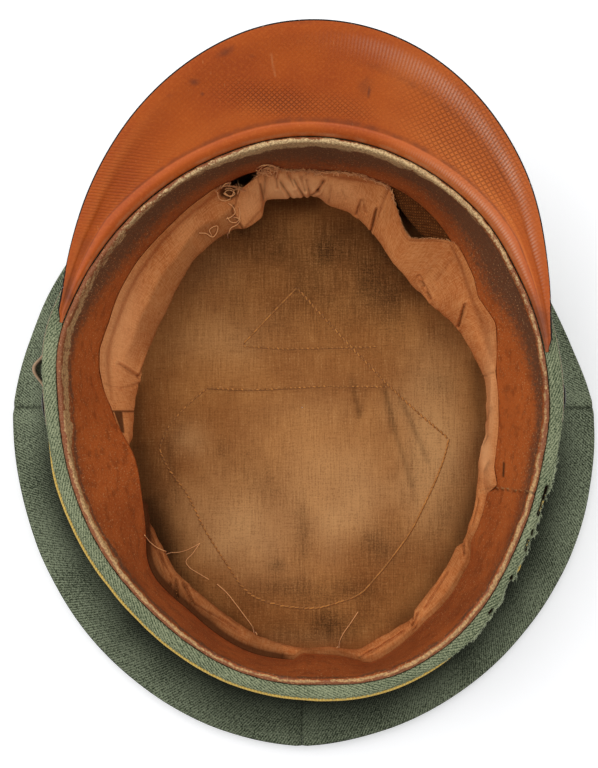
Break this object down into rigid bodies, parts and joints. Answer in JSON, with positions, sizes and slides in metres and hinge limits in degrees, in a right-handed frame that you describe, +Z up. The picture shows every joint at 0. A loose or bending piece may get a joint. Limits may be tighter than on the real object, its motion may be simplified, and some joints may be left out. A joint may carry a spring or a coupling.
{
  "type": "peaked cap",
  "caption": "Worn peaked cap lying upside down: wool crown and band, stiff peak, leather sweatband, cotton lining and chin strap.",
  "frame": {"origin": "middle of the footprint, on the surface that the crown lies on", "axes": "+Z up, out of the head opening; +Y towards the peak; +X to the right in the picture"},
  "size_m": [0.2321, 0.2711, 0.1231],
  "materials": {
    "crown_wool": "grey-green wool twill, matte and slightly felted",
    "band_wool": "lighter green wool twill with frayed moth holes",
    "piping": "yellow wool cord, matte",
    "canvas": "coarse dark stiffening canvas",
    "sweatband_leather": "worn red-brown leather, sweat-darkened at the front, pale at its rubbed edge",
    "lining_cotton": "thin tan cotton, creased and gathered",
    "lining_floor": "tan cotton floor, stained, with sewing lines",
    "peak_lacquer": "orange-tan lacquer with an embossed cross grid below, black above",
    "black_leather": "black leather with tan raw edges",
    "stud_metal": "dull dark metal"
  },
  "bodies": {
    "root": {"crown_top": "crown_wool", "crown_panel_front_right": "crown_wool", "crown_panel_front_left": "crown_wool", "crown_panel_back_left": "crown_wool", "crown_panel_back_right": "crown_wool", "band": "band_wool", "band_piping": "piping", "band_stiffener": "canvas", "sweatband": "sweatband_leather", "lining_side": "lining_cotton", "lining_top": "lining_floor", "peak": "peak_lacquer", "chin_strap": "black_leather", "strap_stud_right": "stud_metal", "strap_stud_left": "stud_metal"}
  },
  "joints": []
}
